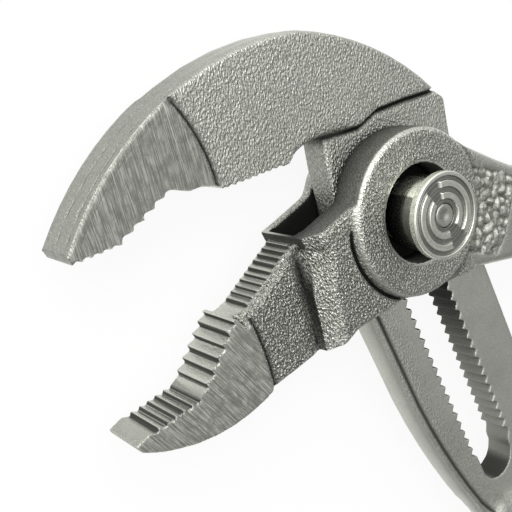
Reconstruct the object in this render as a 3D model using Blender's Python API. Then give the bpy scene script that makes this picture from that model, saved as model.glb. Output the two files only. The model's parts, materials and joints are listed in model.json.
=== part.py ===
"""Water pump pliers with a push-button box joint, lying flat with the button up.

Sizes are in millimetres in the pivot's own frame: the bolt axis is at x = y = 0, heights are
counted from behind the rear face, the jaws point to -X and the upper handle to +X.
Meshes are made in metres.
"""
import math

import bmesh
import bpy
from mathutils import Vector

MM = 0.001

# Joint heights and thicknesses along the bolt axis
FRONT_FACE = 17.8
MID = 8.9
FRONT_BOSS_HEIGHT = 1.0
FRONT_BOSS_RADIUS = 12.9
REAR_CHEEK = 3.0
REAR_BOSS_HEIGHT = 1.8
REAR_BOSS_RADIUS = 9.6
BOSS_CHAMFER = 0.6
FRONT_ROUND = 0.8
REAR_ROUND = 1.6
SHANK_THICK = 5.4
SHANK_CLEAR = 0.3

# Jaws
JAW_THICK = 8.2
PAD_STEP = 0.4
SPINE_ROUND = 1.1
FINE_TOOTH = 0.65
COARSE_TOOTH = 0.9
UPPER_FINE_TOOTH = 0.5
UPPER_COARSE_TOOTH = 0.65
FINE_LEAN = 0.75
COARSE_LEAN = 0.8
THROAT_LEAN = 0.3
VALLEY_DEPTH = 0.9
VALLEY_RADIUS = 2.4
VALLEY_SIDES = 16
TOOTH_CHAMFER = 1.5
TOOTH_CHAMFER_REACH = 1.9
CHAMFER_PAST = 1.0

# Lower jaw in plan: points, and the two ends of each toothed row
LOWER_TIP = (-44.9, -28.9)
LOWER_BELLY = (-37.0, -29.5)
LOWER_HEEL = (-23.3, -24.0)
LOWER_ROOT = ((-15.0, -20.0), (-8.0, -15.0), (-8.0, -10.0), (-19.8, -3.0))
REAR_ROW = ((-20.1, -3.3), (-28.7, -12.5))
REAR_ROW_TEETH = 11
REAR_STEP = ((-28.9, -12.6), (-31.0, -13.3))
MIDDLE_ROW = ((-31.2, -13.4), (-35.4, -21.6))
MIDDLE_ROW_TEETH = 5
TIP_STEP = ((-34.9, -22.0), (-36.3, -23.4))
TIP_ROW = ((-36.6, -23.3), (-44.2, -26.6))
TIP_ROW_TEETH = 6
LOWER_LAND = ((-44.4, -26.8), (-46.0, -27.9))
LOWER_PAD_EDGE = ((-29.6, -11.4), (-26.2, -17.4), (-23.6, -25.0))
LOWER_BLASTED = ((0.0, -25.0), (0.0, 0.0), (-19.5, 0.0), (-29.0, -10.8))
VALLEY_LINE = ((-21.3, -1.0), (-13.6, -22.5))

# Upper jaw in plan
UPPER_TIP = ((-54.4, -2.2), (-53.7, -3.6))
UPPER_TIP_ROW = ((-53.3, -3.4), (-46.9, -1.5))
UPPER_TIP_TEETH = 5
UPPER_MIDDLE_ROW = ((-46.6, -0.95), (-40.65, 4.4))
UPPER_MIDDLE_TEETH = 4
UPPER_HOLLOW = ((-41.0, 4.7), (-40.2, 5.0), (-37.4, 4.65), (-35.7, 5.15), (-33.1, 5.15), (-32.0, 4.7))
UPPER_REAR_ROW = ((-31.6, 4.65), (-21.3, 7.55))
UPPER_REAR_TEETH = 9
UPPER_THROAT = ((-21.0, 7.7), (-20.0, 9.1), (-18.4, 10.2))
UPPER_STEP = ((-14.4, 11.5), (-7.9, 12.95), (-4.6, 15.35), (1.0, 17.05), (7.4, 18.6))
SPINE = ((-6.0, 24.4), (-20.0, 25.9), (-39.5, 17.4))
UPPER_PAD_EDGE = ((-41.2, 16.6), (-36.6, 11.5), (-33.2, 4.4))
UPPER_BLASTED = ((-15.0, 4.4), (20.0, 12.0), (20.0, 30.0), (-28.0, 30.0))

# Joint cheeks in plan: from the throat under the boss to the handle root, then the arc over the boss
CHEEK_UNDER = (
    (-20.1, -2.8), (-18.3, -5.8), (-17.7, -11.0), (-15.0, -20.0), (-11.0, -16.6), (-1.7, -13.3), (4.0, -12.4),
    (9.7, -11.1), (14.0, -10.4), (14.0, 8.1), (8.8, 10.5), (3.4, 12.4),
)
CHEEK_ARC = ((0.0, 12.4), (-8.8, 8.8), (-12.2, 2.4))
CHEEK_THROAT = (-12.8, 1.9)
CHEEK_SLOPE = 3.0
CHEEK_SLOPE_REACH = 2.2

# Slotted shank
SLOT_ANGLE = -59.2
SLOT_LEFT = 4.1
SLOT_RIGHT = 3.5
SLOT_HEAD_END = 7.0
SLOT_HEAD_TAPER = 2.0
SLOT_HANDLE_END = 58.2
SLOT_END_START = 53.6
SLOT_END_PLAIN = 1.2
RACK_PITCH = 2.1
RACK_DEPTH = 1.2
RACK_AHEAD_TEETH = 1.5
RACK_LEAN = 0.45
SHANK_LEFT = 12.1
SHANK_RIGHT = 13.5
SHANK_NECK_END = 2.5
SHANK_STRAIGHT_END = 32.0
SHANK_NECK = ((-14.3, 12.5), (-14.3, 10.6), (-13.0, 5.4), (-11.6, 1.4))
SHANK_BELLY = ((14.0, -44.9), (23.4, -55.7))
SHANK_TO_HANDLE = ((33.4, -64.2), (45.0, -70.0), (56.0, -64.5), (46.4, -53.0))
SHANK_HEAD = ((12.0, 11.9), (10.5, 17.3), (8.0, 18.4), (-6.0, 20.0))
SHANK_RELIEF = (
    (26.0, -62.0), (28.4, -55.2), (33.0, -55.4), (62.0, -70.0), (80.0, -40.0), (20.0, -20.0), (5.0, -50.0),
)

# Motion that the box joint leaves room for
CLOSE_ANGLE = 27.0
OPEN_ANGLE = 2.0
WEB_CLEAR = 0.5
WEB_START = 7.9
WEB_REACH = 44.0
WEB_FLARE = 5.4
CAVITY_PAST = 40.0

# Bolt, button, spring and seat
BOLT_CLEAR = 0.3
BOLT_SHOULDER = 3.1
STEM_RADIUS = 2.6
RIVET_RADIUS = 1.8
CATCH_THICK = 2.0
CATCH_TEETH = 4
GUIDE_RADIUS = 5.5
GUIDE_THICK = 2.2
COUNTERBORE_RADIUS = 7.5
COUNTERBORE_FLOOR = 1.1
BUTTON_RADIUS = 6.5
BUTTON_STANDS = 4.8
BUTTON_FLANGE = 1.3
BUTTON_TOP_WALL = 1.5
BUTTON_RELIEF = 0.35
BUTTON_RIM = 0.55
BUTTON_EDGE = 0.2
BUTTON_RINGS = 2
RING_SLOPE = 0.15
SKIRT_RADIUS = 5.7
SKIRT_WALL = 0.8
SKIRT_LENGTH = 5.3
SEAT_THICK = 0.6
SPRING_WIRE = 0.8
SPRING_RADIUS = 3.75
SPRING_TURNS = 3.5
SPRING_STEPS = 10

# Grips
GRIP_WALL = 3.1
GRIP_FACE_WALL = 2.3
GRIP_FIT = 0.3
GRIP_END_WALL = 4.0
GRIP_GUARD = 1.6
GUARD_STATIONS = (1, 2)

# Panel on the upper handle's root, and the flat behind it
PANEL = ((14.6, 6.4), (15.0, 0.5), (14.8, -7.2), (19.2, -8.3), (20.9, -5.0), (22.0, -1.0), (22.4, 5.2))
PANEL_DEPTH = 0.6
REAR_FLAT_END = 46.0

# Worked out from the sizes above
RACK_TEETH = int((SLOT_END_START - SLOT_END_PLAIN) / RACK_PITCH + RACK_AHEAD_TEETH)
CHEEK_FACE = FRONT_FACE - FRONT_BOSS_HEIGHT
REAR_FACE = REAR_CHEEK - REAR_BOSS_HEIGHT
SHANK_LOW = MID - SHANK_THICK / 2
SHANK_TOP = MID + SHANK_THICK / 2
CAVITY_LOW = SHANK_LOW - SHANK_CLEAR
CAVITY_TOP = SHANK_TOP + SHANK_CLEAR
FLOOR_TOP = CAVITY_TOP + COUNTERBORE_FLOOR
BUTTON_FACE = FRONT_FACE + BUTTON_STANDS
FLANGE_LOW = BUTTON_FACE - BUTTON_FLANGE
BUTTON_CEILING = BUTTON_FACE - BUTTON_TOP_WALL
SEAT_LOW = FLOOR_TOP + BOLT_CLEAR
SEAT_TOP = SEAT_LOW + SEAT_THICK
PAST = 5.0

SLOT_DIR = Vector((math.cos(math.radians(SLOT_ANGLE)), math.sin(math.radians(SLOT_ANGLE))))
SLOT_SIDE = Vector((-SLOT_DIR.y, SLOT_DIR.x))

# Handle stations: centre x, centre y, half width, half thickness, corner radius
UPPER_HANDLE = (
    (9.0, -0.2, 10.2, 7.85, 1.2),
    (22.5, -1.7, 8.0, 7.5, 1.4),
    (32.0, -1.8, 7.4, 6.9, 1.8),
    (45.0, -1.2, 6.6, 5.9, 2.4),
    (60.0, 0.5, 5.9, 5.4, 2.6),
    (100.0, 5.0, 5.8, 5.4, 2.6),
    (150.0, 7.0, 5.6, 5.2, 2.6),
    (193.0, 4.0, 5.2, 5.0, 2.6),
)
LOWER_HANDLE = (
    (30.6, -49.2, 10.0, 4.4, 1.6),
    (40.9, -59.1, 9.2, 4.9, 2.0),
    (53.0, -69.5, 8.4, 5.4, 2.4),
    (66.0, -79.0, 6.8, 5.4, 2.6),
    (78.0, -87.4, 5.9, 5.4, 2.6),
    (106.0, -107.5, 5.8, 5.4, 2.6),
    (130.0, -125.5, 5.6, 5.2, 2.6),
    (149.0, -141.0, 5.2, 5.0, 2.6),
)
GRIP_FROM = 4
STATION_STEPS = 3


def on_slot(along, across):
    """Plan point at a distance along the slot and across it, from the bolt axis."""
    point = SLOT_DIR * along + SLOT_SIDE * across
    return (point.x, point.y)


def arc(start, through, end, steps):
    """Points after start on the circle through three points, up to end."""
    (ax, ay), (bx, by), (cx, cy) = start, through, end
    double = 2 * (ax * (by - cy) + bx * (cy - ay) + cx * (ay - by))
    aa, bb, cc = ax * ax + ay * ay, bx * bx + by * by, cx * cx + cy * cy
    ux = (aa * (by - cy) + bb * (cy - ay) + cc * (ay - by)) / double
    uy = (aa * (cx - bx) + bb * (ax - cx) + cc * (bx - ax)) / double
    radius = math.hypot(ax - ux, ay - uy)
    first = math.atan2(ay - uy, ax - ux)
    turn = (math.atan2(cy - uy, cx - ux) - first) % math.tau
    middle = (math.atan2(by - uy, bx - ux) - first) % math.tau
    if middle > turn:
        turn -= math.tau
    angles = [first + turn * k / steps for k in range(1, steps + 1)]
    return [(ux + radius * math.cos(a), uy + radius * math.sin(a)) for a in angles]


def teeth(start, end, count, depth, lean):
    """Toothed edge whose ridges lie on the line from start to end, with roots on its left."""
    first = Vector(start)
    step = (Vector(end) - first) / count
    inward = Vector((-step.y, step.x)).normalized() * depth
    points = []
    for k in range(count):
        root = first + step * k + inward
        ridge = first + step * (k + lean)
        points += [(root.x, root.y), (ridge.x, ridge.y)]
    return points


def finish_mesh(name, bm, role):
    """Object in metres from a bmesh in millimetres, with its faces pointing out."""
    bmesh.ops.recalc_face_normals(bm, faces=bm.faces)
    bmesh.ops.scale(bm, vec=(MM, MM, MM), verts=bm.verts)
    mesh = bpy.data.meshes.new(name)
    bm.to_mesh(mesh)
    bm.free()
    obj = bpy.data.objects.new(name, mesh)
    bpy.context.collection.objects.link(obj)
    obj.parent = PLIERS
    if role == "cutter":
        obj.hide_render = True
        obj.display_type = "WIRE"
    return obj


def prism(name, outline, low, high, role="cutter", rounded=(), rounding=(0.0, 0.0)):
    """Plan outline extruded from low to high, with the low and high edges of chosen points rounded."""
    bm = bmesh.new()
    base = bm.faces.new([bm.verts.new((x, y, low)) for x, y in outline])
    made = bmesh.ops.extrude_face_region(bm, geom=[base])
    top = [v for v in made["geom"] if isinstance(v, bmesh.types.BMVert)]
    bmesh.ops.translate(bm, verts=top, vec=(0, 0, high - low))
    wanted = {tuple(round(c, 4) for c in outline[k % len(outline)]) for k in rounded}
    for height, size in zip((low, high), rounding):
        level = {v for v in bm.verts if abs(v.co.z - height) < MM}
        keep = {v for v in level if (round(v.co.x, 4), round(v.co.y, 4)) in wanted}
        caps = [e for e in bm.edges if keep.issuperset(e.verts)]
        if caps:
            bmesh.ops.bevel(bm, geom=caps, offset=size, segments=2, profile=0.5, affect="EDGES")
    return finish_mesh(name, bm, role)


def turned(name, profile, role="cutter", segments=48):
    """Closed (radius, height) profile spun round the bolt axis."""
    bm = bmesh.new()
    rings = []
    for radius, height in profile:
        if radius < 1e-6:
            rings.append([bm.verts.new((0, 0, height))])
            continue
        angles = [math.tau * k / segments for k in range(segments)]
        rings.append([bm.verts.new((radius * math.cos(a), radius * math.sin(a), height)) for a in angles])
    closed = profile[0][0] > 1e-6
    pairs = zip(rings, rings[1:] + rings[:1]) if closed else zip(rings, rings[1:])
    for one, two in pairs:
        for k in range(segments):
            n = (k + 1) % segments
            corners = [one[k % len(one)], one[n % len(one)], two[n % len(two)], two[k % len(two)]]
            face = list(dict.fromkeys(corners))
            bm.faces.new(face)
    return finish_mesh(name, bm, role)


def smooth_stations(stations, first, last):
    """Catmull-Rom stations between two indices, STATION_STEPS to each span."""
    result = [Vector(stations[first])]
    for k in range(first, last):
        a = Vector(stations[max(k - 1, 0)])
        b = Vector(stations[k])
        c = Vector(stations[k + 1])
        d = Vector(stations[min(k + 2, len(stations) - 1)])
        for j in range(1, STATION_STEPS + 1):
            t = j / STATION_STEPS
            spline = 2 * b + (c - a) * t + (2 * a - 5 * b + 4 * c - d) * t * t
            result.append((spline + (3 * b - a - 3 * c + d) * t ** 3) / 2)
    return result


def section(half_width, half_thick, radius, corner_points=4):
    """Rounded rectangle, as (across, up) points round the section."""
    points = []
    for quarter, (sx, sy) in enumerate(((1, 1), (-1, 1), (-1, -1), (1, -1))):
        for k in range(corner_points):
            angle = math.pi / 2 * (quarter + k / (corner_points - 1))
            across = sx * (half_width - radius) + radius * math.cos(angle)
            up = sy * (half_thick - radius) + radius * math.sin(angle)
            points.append((across, up))
    return points


def loft(name, stations, grow, role="cutter", start_push=0.0, end_push=0.0):
    """Handle solid through stations; grow(k) gives a section's extra half width and thickness."""
    bm = bmesh.new()
    centres = [Vector((s[0], s[1])) for s in stations]
    rings = []
    for k, s in enumerate(stations):
        tangent = (centres[min(k + 1, len(centres) - 1)] - centres[max(k - 1, 0)]).normalized()
        side = Vector((-tangent.y, tangent.x))
        push = -start_push if k == 0 else end_push if k == len(stations) - 1 else 0.0
        centre = centres[k] + tangent * push
        wider, thicker = grow(k)
        ring = []
        for across, up in section(s[2] + wider, s[3] + thicker, s[4] + thicker):
            place = centre + side * across
            ring.append(bm.verts.new((place.x, place.y, MID + up)))
        rings.append(ring)
    for one, two in zip(rings, rings[1:]):
        for k in range(len(one)):
            n = (k + 1) % len(one)
            bm.faces.new((one[k], one[n], two[n], two[k]))
    bm.faces.new(rings[0])
    bm.faces.new(rings[-1])
    return finish_mesh(name, bm, role)


def combine(target, tool, operation):
    """Exact Boolean of a tool solid on a target."""
    step = target.modifiers.new(tool.name, "BOOLEAN")
    step.operation = operation
    step.object = tool
    step.solver = "EXACT"


def paint(obj, name, colour, roughness, metallic):
    """Principled material of one sub-part."""
    material = bpy.data.materials.new(name)
    material.use_nodes = True
    shader = material.node_tree.nodes["Principled BSDF"]
    shader.inputs["Base Color"].default_value = (*colour, 1.0)
    shader.inputs["Roughness"].default_value = roughness
    shader.inputs["Metallic"].default_value = metallic
    obj.data.materials.append(material)


def both_faces(target, name, outline, face_half):
    """Cut away everything beyond face_half from the mid plane, inside a plan outline."""
    front = prism(f"{name}_front", outline, MID + face_half, FRONT_FACE + PAST)
    rear = prism(f"{name}_rear", outline, -PAST, MID - face_half)
    combine(target, front, "DIFFERENCE")
    combine(target, rear, "DIFFERENCE")


def edge_slope(target, start, end, face, drop, reach, sign):
    """Sloped cut along an edge of a face, front (sign 1) or rear; the solid lies left of start to end."""
    one, two = Vector(start), Vector(end)
    along = (two - one).normalized()
    inward = Vector((-along.y, along.x))
    slope = CHAMFER_PAST * drop / reach
    corners = (
        (-CHAMFER_PAST, face - sign * (drop + slope)),
        (reach + CHAMFER_PAST, face + sign * slope),
        (-CHAMFER_PAST, face + sign * slope),
    )
    bm = bmesh.new()
    ends = []
    for end_point in (one - along * TOOTH_CHAMFER, two + along * TOOTH_CHAMFER):
        places = [(end_point + inward * depth, z) for depth, z in corners]
        ends.append([bm.verts.new((p.x, p.y, z)) for p, z in places])
    bm.faces.new(ends[0])
    bm.faces.new(ends[1])
    for k in range(3):
        n = (k + 1) % 3
        bm.faces.new((ends[0][k], ends[0][n], ends[1][n], ends[1][k]))
    combine(target, finish_mesh("edge_slope", bm, "cutter"), "DIFFERENCE")


def valley(target, start, end):
    """Round groove on both faces between the lower jaw and the joint cheeks."""
    one, two = Vector(start), Vector(end)
    along = (two - one).normalized()
    side = Vector((-along.y, along.x))
    for name, sign in (("front", 1), ("back", -1)):
        bm = bmesh.new()
        axis = MID + sign * (JAW_THICK / 2 - VALLEY_DEPTH + VALLEY_RADIUS)
        rings = []
        for end_point in (one, two):
            ring = []
            for k in range(VALLEY_SIDES):
                angle = math.tau * k / VALLEY_SIDES
                place = end_point + side * VALLEY_RADIUS * math.cos(angle)
                ring.append(bm.verts.new((place.x, place.y, axis + VALLEY_RADIUS * math.sin(angle))))
            rings.append(ring)
        bm.faces.new(rings[0])
        bm.faces.new(rings[1])
        for k in range(VALLEY_SIDES):
            n = (k + 1) % VALLEY_SIDES
            bm.faces.new((rings[0][k], rings[0][n], rings[1][n], rings[1][k]))
        combine(target, finish_mesh(f"valley_{name}", bm, "cutter"), "DIFFERENCE")


def lower_jaw_outline():
    """Lower jaw from its tip along the underside and back along its three toothed rows."""
    points = [LOWER_TIP, *arc(LOWER_TIP, LOWER_BELLY, LOWER_HEEL, 8), *LOWER_ROOT]
    points += teeth(*REAR_ROW, REAR_ROW_TEETH, FINE_TOOTH, FINE_LEAN)
    points += REAR_STEP
    points += teeth(*MIDDLE_ROW, MIDDLE_ROW_TEETH, COARSE_TOOTH, COARSE_LEAN)
    points += TIP_STEP
    points += teeth(*TIP_ROW, TIP_ROW_TEETH, FINE_TOOTH, FINE_LEAN)
    points += LOWER_LAND
    return points


def cheek_outline():
    """Plan of the two joint cheeks, from the throat side round under the boss to the handle root."""
    return [*CHEEK_UNDER, *arc(*CHEEK_ARC, 6), CHEEK_THROAT]


def slot_axes(turn):
    """Directions along and across the slot with the slotted arm turned by an angle in degrees."""
    angle = math.radians(SLOT_ANGLE + turn)
    along = Vector((math.cos(angle), math.sin(angle)))
    return along, Vector((-along.y, along.x))


def cavity_outline():
    """Room for the shank between the cheeks, for every jaw angle from open to closed."""
    along, across = slot_axes(CLOSE_ANGLE)
    open_along, open_across = slot_axes(-OPEN_ANGLE)
    jaw_side = -across * (SHANK_LEFT + WEB_CLEAR)
    throat = jaw_side - along * CAVITY_PAST
    open_side = -open_across * (SHANK_LEFT + WEB_CLEAR)
    reach = (open_side - jaw_side).dot(open_across) / along.dot(open_across)
    corner = jaw_side + along * reach
    outlet = open_side + open_along * CAVITY_PAST
    handle_side = across * (SHANK_RIGHT + WEB_CLEAR)
    web_top = handle_side + along * WEB_START
    web_end = handle_side + along * WEB_REACH + across * WEB_FLARE
    corners = [throat, corner, outlet, Vector((web_end.x, outlet.y)), web_end]
    corners += [web_top, Vector((web_top.x, CAVITY_PAST)), Vector((throat.x, CAVITY_PAST))]
    return [(c.x, c.y) for c in corners]


def upper_jaw_outline():
    """Hooked upper jaw: toothed edge to the throat, then the step to the shank."""
    points = [*UPPER_TIP]
    points += teeth(*UPPER_TIP_ROW, UPPER_TIP_TEETH, UPPER_FINE_TOOTH, FINE_LEAN)
    points += teeth(*UPPER_MIDDLE_ROW, UPPER_MIDDLE_TEETH, UPPER_COARSE_TOOTH, FINE_LEAN)
    points += UPPER_HOLLOW
    points += teeth(*UPPER_REAR_ROW, UPPER_REAR_TEETH, UPPER_FINE_TOOTH, THROAT_LEAN)
    points += [UPPER_THROAT[0], *arc(*UPPER_THROAT, 4), *UPPER_STEP]
    return points


def spine_outline():
    """Back of the upper jaw, from the step's end over the spine to the tip."""
    rear = arc(UPPER_STEP[-1], SPINE[0], SPINE[1], 8)
    return rear + arc(SPINE[1], SPINE[2], UPPER_TIP[0], 9)[:-1]


def shank_outline():
    """Thin shank from inside the upper jaw, along the slot, to the handle."""
    points = [*SHANK_NECK, on_slot(SHANK_NECK_END, -SHANK_LEFT), on_slot(SHANK_STRAIGHT_END, -SHANK_LEFT)]
    points += arc(points[-1], *SHANK_BELLY, 5)
    points += SHANK_TO_HANDLE
    points += [on_slot(SLOT_END_START, SHANK_RIGHT), on_slot(WEB_START, SHANK_RIGHT)]
    points += SHANK_HEAD
    return points


def slot_outline():
    """Toothed slot round the bolt axis, with plain ends."""
    start = -RACK_PITCH * RACK_AHEAD_TEETH
    stop = start + RACK_PITCH * RACK_TEETH
    left_start, left_stop = on_slot(start, -SLOT_LEFT), on_slot(stop, -SLOT_LEFT)
    right_start, right_stop = on_slot(start, SLOT_RIGHT), on_slot(stop, SLOT_RIGHT)
    taper = SLOT_HEAD_TAPER
    points = [on_slot(taper - SLOT_HEAD_END, SLOT_RIGHT), on_slot(-SLOT_HEAD_END, SLOT_RIGHT - taper)]
    points += [on_slot(-SLOT_HEAD_END, taper - SLOT_LEFT), on_slot(taper - SLOT_HEAD_END, -SLOT_LEFT)]
    points += teeth(left_start, left_stop, RACK_TEETH, -RACK_DEPTH, RACK_LEAN)
    left_end, right_end = on_slot(SLOT_END_START, -SLOT_LEFT), on_slot(SLOT_END_START, SLOT_RIGHT)
    points += [left_stop, left_end]
    points += arc(left_end, on_slot(SLOT_HANDLE_END, 0.0), right_end, 8)
    points += teeth(right_stop, right_start, RACK_TEETH, -RACK_DEPTH, 1 - RACK_LEAN)
    return points


def make_box_arm():
    """Lower jaw, joint cheeks with the ring boss, and upper handle."""
    arm = prism("box_arm", lower_jaw_outline(), MID - JAW_THICK / 2, MID + JAW_THICK / 2, role="node")
    blasted = [LOWER_PAD_EDGE[0], *arc(*LOWER_PAD_EDGE, 6), *LOWER_BLASTED]
    both_faces(arm, "lower_side", blasted, JAW_THICK / 2 - PAD_STEP)
    valley(arm, *VALLEY_LINE)
    for sign in (1, -1):
        edge_slope(arm, *REAR_ROW, MID + sign * JAW_THICK / 2, TOOTH_CHAMFER, TOOTH_CHAMFER_REACH, sign)
    outline = cheek_outline()
    cheeks = prism("cheeks", outline, REAR_CHEEK, CHEEK_FACE, rounded=range(len(outline)),
                   rounding=(REAR_ROUND, FRONT_ROUND))
    for start, end in zip(CHEEK_UNDER[:3], CHEEK_UNDER[1:4]):
        edge_slope(cheeks, start, end, CHEEK_FACE, CHEEK_SLOPE, CHEEK_SLOPE_REACH, 1)
    combine(arm, cheeks, "UNION")
    stations = smooth_stations(UPPER_HANDLE, 0, len(UPPER_HANDLE) - 1)
    combine(arm, loft("upper_tang", stations, lambda k: (0.0, 0.0)), "UNION")
    flat = [(0.0, -CAVITY_PAST), (REAR_FLAT_END, -CAVITY_PAST)]
    flat += [(REAR_FLAT_END, CAVITY_PAST), (0.0, CAVITY_PAST)]
    combine(arm, prism("rear_flat", flat, -PAST, REAR_CHEEK), "DIFFERENCE")
    combine(arm, prism("panel", PANEL, CHEEK_FACE - PANEL_DEPTH, FRONT_FACE + PAST), "DIFFERENCE")
    rear_rim = REAR_BOSS_RADIUS - BOSS_CHAMFER
    profile = [(0, REAR_FACE), (rear_rim, REAR_FACE), (REAR_BOSS_RADIUS, REAR_FACE + BOSS_CHAMFER)]
    profile += [(REAR_BOSS_RADIUS, MID), (FRONT_BOSS_RADIUS, MID)]
    profile += [(FRONT_BOSS_RADIUS, FRONT_FACE - BOSS_CHAMFER)]
    profile += [(FRONT_BOSS_RADIUS - BOSS_CHAMFER, FRONT_FACE), (0, FRONT_FACE)]
    combine(arm, turned("boss", profile), "UNION")
    combine(arm, prism("cavity", cavity_outline(), CAVITY_LOW, CAVITY_TOP), "DIFFERENCE")
    rear = GUIDE_RADIUS + BOLT_CLEAR
    stem = STEM_RADIUS + BOLT_CLEAR
    profile = [(0, -PAST), (rear, -PAST), (rear, MID), (stem, MID), (stem, FLOOR_TOP)]
    profile += [(COUNTERBORE_RADIUS, FLOOR_TOP), (COUNTERBORE_RADIUS, FRONT_FACE + PAST)]
    profile += [(0, FRONT_FACE + PAST)]
    combine(arm, turned("bores", profile), "DIFFERENCE")
    paint(arm, "blasted_steel_box", (0.36, 0.36, 0.35), 0.42, 1.0)
    return arm


def make_slotted_arm():
    """Hooked upper jaw, toothed shank and lower handle."""
    outline = upper_jaw_outline()
    teeth_end = len(outline)
    outline += spine_outline()
    arm = prism("slotted_arm", outline, MID - JAW_THICK / 2, MID + JAW_THICK / 2, role="node",
                rounded=range(teeth_end - 1, len(outline) + 1), rounding=(SPINE_ROUND, SPINE_ROUND))
    blasted = [UPPER_PAD_EDGE[0], *arc(*UPPER_PAD_EDGE, 6), *UPPER_BLASTED]
    both_faces(arm, "upper_side", blasted, JAW_THICK / 2 - PAD_STEP)
    combine(arm, prism("shank", shank_outline(), SHANK_LOW, SHANK_TOP), "UNION")
    stations = smooth_stations(LOWER_HANDLE, 0, len(LOWER_HANDLE) - 1)
    combine(arm, loft("lower_tang", stations, lambda k: (0.0, 0.0)), "UNION")
    both_faces(arm, "shank_relief", SHANK_RELIEF, SHANK_THICK / 2)
    combine(arm, prism("slot", slot_outline(), SHANK_LOW - PAST, SHANK_TOP + PAST), "DIFFERENCE")
    paint(arm, "blasted_steel_slotted", (0.37, 0.37, 0.36), 0.42, 1.0)
    return arm


def make_bolt():
    """Stepped bolt: rear guide, toothed catch, shoulder, stem and riveted front end."""
    guide_top = CAVITY_LOW
    guide_low = guide_top - GUIDE_THICK
    profile = [(0, guide_low), (GUIDE_RADIUS, guide_low), (GUIDE_RADIUS, guide_top)]
    profile += [(BOLT_SHOULDER, guide_top), (BOLT_SHOULDER, SHANK_TOP), (STEM_RADIUS, SHANK_TOP)]
    stem_end = BUTTON_CEILING - BOLT_CLEAR
    profile += [(STEM_RADIUS, stem_end), (RIVET_RADIUS, stem_end)]
    profile += [(RIVET_RADIUS, BUTTON_FACE - BUTTON_RELIEF), (0, BUTTON_FACE - BUTTON_RELIEF)]
    bolt = turned("pivot_bolt", profile, role="node", segments=32)
    left, right = SLOT_LEFT - BOLT_CLEAR, SLOT_RIGHT - BOLT_CLEAR
    reach = RACK_PITCH * CATCH_TEETH / 2
    depth = RACK_DEPTH / 2
    outline = teeth(on_slot(-reach, -left), on_slot(reach, -left), CATCH_TEETH, depth, RACK_LEAN)
    outline += teeth(on_slot(reach, right), on_slot(-reach, right), CATCH_TEETH, depth, 1 - RACK_LEAN)
    catch = prism("catch", outline, guide_top - GUIDE_THICK / 2, SHANK_LOW + CATCH_THICK)
    combine(bolt, catch, "UNION")
    paint(bolt, "turned_steel_bolt", (0.42, 0.42, 0.41), 0.3, 1.0)
    return bolt


def make_button():
    """Cap with a rim, two raised rings on its face and a short skirt, riveted on the bolt."""
    floor = BUTTON_FACE - BUTTON_RELIEF
    hole = RIVET_RADIUS + BOLT_CLEAR / 2
    skirt_low = FLANGE_LOW - SKIRT_LENGTH
    inner = SKIRT_RADIUS - SKIRT_WALL
    rim = BUTTON_RADIUS - BUTTON_RIM
    profile = [(hole, BUTTON_CEILING), (inner, BUTTON_CEILING), (inner, skirt_low), (SKIRT_RADIUS, skirt_low)]
    profile += [(SKIRT_RADIUS, FLANGE_LOW), (BUTTON_RADIUS, FLANGE_LOW)]
    profile += [(BUTTON_RADIUS, BUTTON_FACE - BUTTON_EDGE), (BUTTON_RADIUS - BUTTON_EDGE, BUTTON_FACE)]
    profile += [(rim, BUTTON_FACE), (rim - RING_SLOPE, floor)]
    ring = (rim - hole) / (2 * BUTTON_RINGS + 1)
    for k in range(BUTTON_RINGS):
        outer = rim - ring * (2 * k + 1)
        within = outer - ring
        profile += [(outer, floor), (outer - RING_SLOPE, BUTTON_FACE)]
        profile += [(within + RING_SLOPE, BUTTON_FACE), (within, floor)]
    profile += [(hole, floor)]
    button = turned("push_button", profile, role="node", segments=40)
    paint(button, "turned_steel_button", (0.5, 0.5, 0.49), 0.22, 1.0)
    return button


def make_seat():
    """Washer on the floor of the counterbore, inside the button's skirt."""
    inner = STEM_RADIUS + BOLT_CLEAR
    outer = SKIRT_RADIUS - SKIRT_WALL - BOLT_CLEAR
    profile = [(inner, SEAT_LOW), (outer, SEAT_LOW), (outer, SEAT_TOP), (inner, SEAT_TOP)]
    seat = turned("spring_seat", profile, role="node", segments=32)
    paint(seat, "plain_steel_seat", (0.3, 0.3, 0.3), 0.4, 1.0)
    return seat


def make_spring():
    """Compression coil between the seat and the button, with its least gap to itself printed."""
    low = SEAT_TOP + BOLT_CLEAR + SPRING_WIRE / 2
    high = BUTTON_CEILING - BOLT_CLEAR - SPRING_WIRE / 2
    count = int(SPRING_TURNS * SPRING_STEPS) + 1
    points = []
    for k in range(count):
        angle = math.tau * SPRING_TURNS * k / (count - 1)
        height = low + (high - low) * k / (count - 1)
        points.append(Vector((SPRING_RADIUS * math.cos(angle), SPRING_RADIUS * math.sin(angle), height)))
    apart = SPRING_STEPS // 2
    far = [(a - b).length for i, a in enumerate(points) for b in points[i + apart + 1:]]
    print(f"return_spring least gap to itself {min(far) - SPRING_WIRE:.2f} mm")
    curve = bpy.data.curves.new("return_spring", "CURVE")
    curve.dimensions = "3D"
    curve.bevel_depth = SPRING_WIRE / 2 * MM
    curve.bevel_resolution = 1
    curve.use_fill_caps = True
    line = curve.splines.new("POLY")
    line.points.add(count - 1)
    for point, place in zip(line.points, points):
        point.co = (*(place * MM), 1.0)
    spring = bpy.data.objects.new("return_spring", curve)
    bpy.context.collection.objects.link(spring)
    spring.parent = PLIERS
    paint(spring, "spring_steel", (0.25, 0.25, 0.26), 0.35, 1.0)
    return spring


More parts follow.
